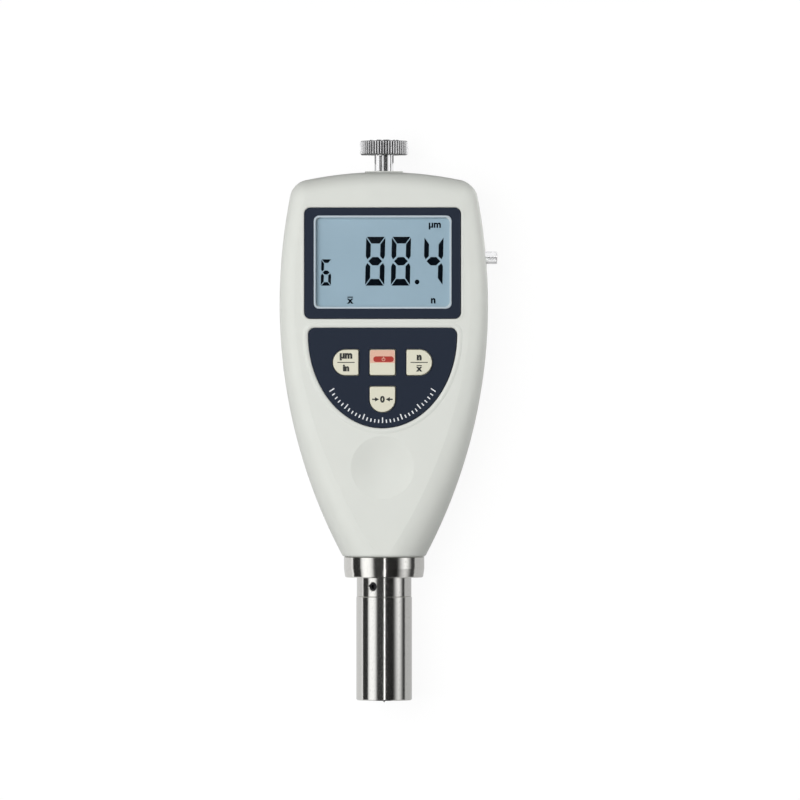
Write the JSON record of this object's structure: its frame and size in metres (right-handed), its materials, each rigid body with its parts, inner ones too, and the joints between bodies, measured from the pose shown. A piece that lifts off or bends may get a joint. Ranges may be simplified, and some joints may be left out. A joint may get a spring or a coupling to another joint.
{
  "type": "surface roughness meter",
  "caption": "Hand-held gauge that reads surface profile depth with a sprung needle in a steel foot, shown on a digital display.",
  "frame": {"origin": "on the flat back face, straight under the middle of the thumb dimple", "axes": "+X to the right as the display is read, +Y along the gauge towards the top thumb screw, +Z out of the front"},
  "size_m": [0.0681, 0.1769, 0.0291],
  "materials": {
    "shell": "off-white moulded plastic, fine grain",
    "door": "off-white moulded plastic, fine grain",
    "navy": "dark navy overlay, satin",
    "key": "cream silicone-like keys, satin",
    "window": "clear window",
    "display": "grey-blue liquid crystal glass",
    "carrier": "black moulded carrier",
    "contact_rubber": "striped conducting rubber",
    "steel": "fine turned steel",
    "plated_steel": "bright plated steel",
    "screw_steel": "zinc plated screws",
    "jack_metal": "nickel plated barrel on a black body",
    "brass": "turned brass",
    "winding": "enamelled copper wire",
    "spring": "spring steel",
    "board": "green circuit board",
    "chip": "black chip packages",
    "crystal": "tin can",
    "bobbin": "black bobbin",
    "lead": "amber film lead",
    "plug": "white plug",
    "switch": "black switch body",
    "plunger": "grey plunger",
    "battery": "wrapped steel can",
    "terminal": "nickel plated strip"
  },
  "bodies": {
    "gauge": {"front_shell": "shell", "rear_shell": "shell", "case_screws": "screw_steel", "board_screws": "screw_steel", "display_frame": "navy", "keypad_plate": "navy", "display_window": "window", "display_glass": "display", "display_carrier": "carrier", "display_connector": "contact_rubber", "units_switch": "switch", "power_switch": "switch", "mode_switch": "switch", "zero_switch": "switch", "circuit_board": "board", "processor": "chip", "amplifier": "chip", "crystal": "crystal", "battery_1": "battery", "battery_2": "battery", "battery_3": "battery", "battery_4": "battery", "low_contact_negative": "terminal", "low_contact_bridge": "terminal", "low_contact_positive": "terminal", "high_contact_left": "terminal", "high_contact_right": "terminal", "data_jack": "jack_metal", "probe_stem": "steel", "collar": "plated_steel", "lock_nut": "screw_steel", "foot_ring": "plated_steel", "grub_screw": "screw_steel", "foot_sleeve": "plated_steel", "lower_bush": "brass", "upper_bush": "brass", "return_spring": "spring", "bobbin": "bobbin", "winding": "winding", "sensor_can": "steel", "sensor_plug": "plug", "sensor_lead": "lead", "screw_insert": "brass"},
    "needle_slider": {"spindle": "steel", "needle": "steel", "spindle_clip": "spring", "sensor_core": "steel"},
    "units_button": {"units_key": "key", "units_plunger": "plunger"},
    "power_button": {"power_key": "key", "power_plunger": "plunger"},
    "mode_button": {"mode_key": "key", "mode_plunger": "plunger"},
    "zero_button": {"zero_key": "key", "zero_plunger": "plunger"},
    "door": {"battery_door": "door"},
    "thumb_screw": {"top_screw": "plated_steel"}
  },
  "joints": [
    {"name": "needle_slide", "type": "slide", "parent": "gauge", "child": "needle_slider", "axis": [0, 1, 0], "range_m": [0, 0.0008], "stiffness_N_per_m": 500, "springref_m": -0.002, "deforming": ["return_spring"]},
    {"name": "units_press", "type": "slide", "parent": "gauge", "child": "units_button", "axis": [0, 0, -1], "range_m": [0, 0.0004], "stiffness_N_per_m": 3000, "springref_m": -0.0004},
    {"name": "power_press", "type": "slide", "parent": "gauge", "child": "power_button", "axis": [0, 0, -1], "range_m": [0, 0.0004], "stiffness_N_per_m": 3000, "springref_m": -0.0004},
    {"name": "mode_press", "type": "slide", "parent": "gauge", "child": "mode_button", "axis": [0, 0, -1], "range_m": [0, 0.0004], "stiffness_N_per_m": 3000, "springref_m": -0.0004},
    {"name": "zero_press", "type": "slide", "parent": "gauge", "child": "zero_button", "axis": [0, 0, -1], "range_m": [0, 0.0004], "stiffness_N_per_m": 3000, "springref_m": -0.0004},
    {"name": "door_hinge", "type": "hinge", "parent": "gauge", "child": "door", "pos_m": [0, 0.07, 0.0015], "axis": [1, 0, 0], "range_deg": [0, 80]},
    {"name": "thumb_screw_turn", "type": "hinge", "parent": "gauge", "child": "thumb_screw", "pos_m": [0, 0.0926, 0.014], "axis": [0, 1, 0], "continuous": true}
  ]
}
